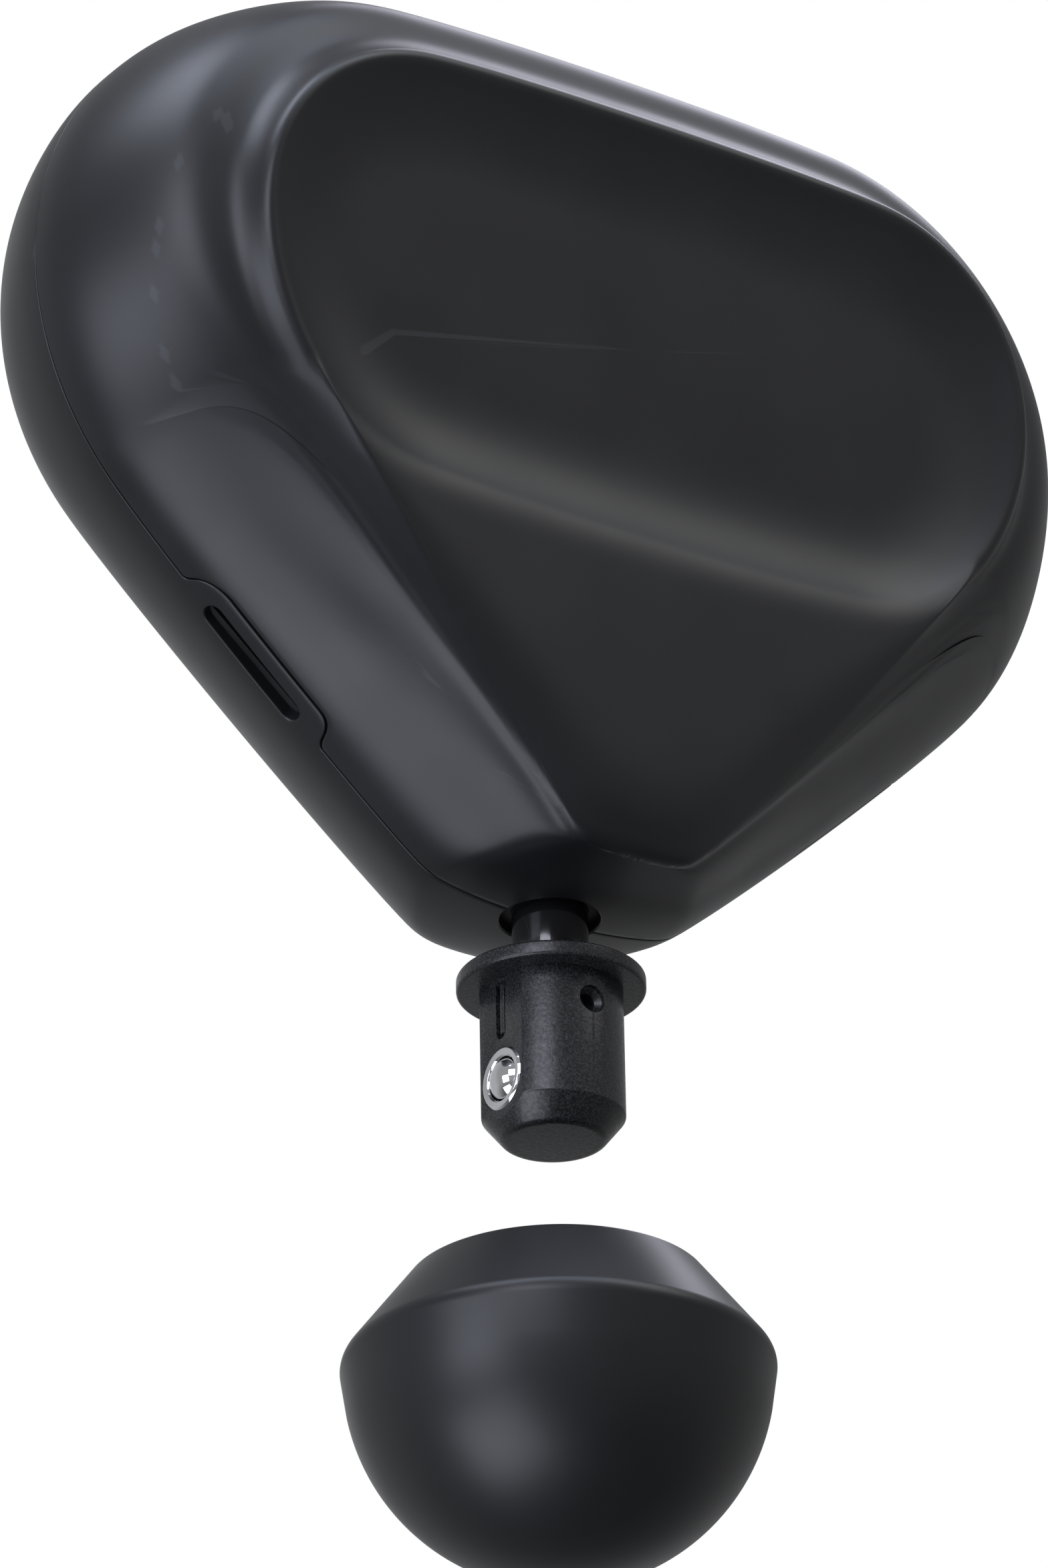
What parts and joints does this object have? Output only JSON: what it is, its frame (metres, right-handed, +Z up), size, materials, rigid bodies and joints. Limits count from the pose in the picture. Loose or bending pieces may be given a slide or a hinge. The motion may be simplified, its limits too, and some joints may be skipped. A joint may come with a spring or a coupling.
{
  "type": "massage gun",
  "caption": "Pocket percussion massager: rounded triangular body with a palm dish, short-stroke arbor under the nose and a detached dome head.",
  "frame": {"origin": "grip centre: on the stroke axis at the height of the palm dish's middle", "axes": "+Z up, away from the head; the arbor points along -Z; the palm dish faces -Y; +X to the right seen from the front"},
  "size_m": [0.1294, 0.0557, 0.175],
  "materials": {
    "soft_touch": "fine soft-touch coating, matte",
    "inner_plastic": "moulded, matte",
    "seal_rubber": "matte",
    "bronze": "sintered bronze",
    "cast_alloy": "cast and bead blasted",
    "steel": "ground",
    "black_steel": "black oxide",
    "copper": "enamelled winding",
    "wire_red": "silicone insulation",
    "circuit_board": "solder mask",
    "lens": "diffusing",
    "cell_wrap": "shrink sleeve",
    "button_plastic": "satin",
    "black_chrome": "polished black chrome",
    "bright_chrome": "polished",
    "arbor_polymer": "fine speckled satin",
    "head_rubber": "smooth closed-cell, matte"
  },
  "bodies": {
    "casing": {"front_shell": "soft_touch", "rear_shell": "soft_touch", "vent_liners": "inner_plastic", "shaft_seal": "seal_rubber", "bushing_lower": "bronze", "bushing_upper": "bronze", "drive_frame": "cast_alloy", "frame_dampers": "seal_rubber", "frame_screws": "steel", "motor_base": "cast_alloy", "motor_bearings": "steel", "stator_core": "steel", "stator_windings": "copper", "motor_leads": "wire_red", "main_board": "circuit_board", "board_chips": "inner_plastic", "power_switch": "steel", "led_lenses": "lens", "battery_cells": "cell_wrap", "battery_cradles": "inner_plastic", "cell_tabs": "steel", "battery_leads": "wire_red", "charge_socket": "steel", "charge_board": "circuit_board", "housing_screws": "steel", "screw_caps": "soft_touch"},
    "button": {"power_button": "button_plastic"},
    "rotor": {"rotor_bell": "black_steel", "rotor_magnets": "steel", "motor_shaft": "steel", "crank_disc": "cast_alloy"},
    "conrod": {"connecting_rod": "cast_alloy", "crank_bearing": "steel", "crank_pin": "steel"},
    "stroker": {"drive_shaft": "black_chrome", "crosshead": "cast_alloy", "wrist_pin": "steel", "arbor": "arbor_polymer", "cross_pin": "black_steel", "detent_ring": "bright_chrome", "detent_spring": "steel"},
    "ball": {"detent_ball": "bright_chrome"},
    "head": {"head_core": "inner_plastic", "head_dome": "head_rubber"}
  },
  "joints": [
    {"name": "shaft_stroke", "type": "slide", "parent": "casing", "child": "stroker", "axis": [0, 0, -1], "range_m": [0, 0.012]},
    {"name": "rotor_spin", "type": "hinge", "parent": "casing", "child": "rotor", "pos_m": [0, 0.006, -0.002], "axis": [0, 1, 0], "continuous": true},
    {"name": "rod_swing", "type": "hinge", "parent": "stroker", "child": "conrod", "pos_m": [0, 0, -0.023], "axis": [0, 1, 0], "range_deg": [-12.8, 12.8]},
    {"name": "button_press", "type": "slide", "parent": "casing", "child": "button", "axis": [0, -1, 0], "range_m": [0, 0.0005], "stiffness_N_per_m": 2500},
    {"name": "detent_press", "type": "slide", "parent": "stroker", "child": "ball", "axis": [1, 0, 0], "range_m": [0, 0.001], "stiffness_N_per_m": 2500, "deforming": ["detent_spring"]},
    {"name": "head_pull", "type": "slide", "parent": "stroker", "child": "head", "axis": [0, 0, -1], "range_m": [-0.0328, 0.03]}
  ]
}
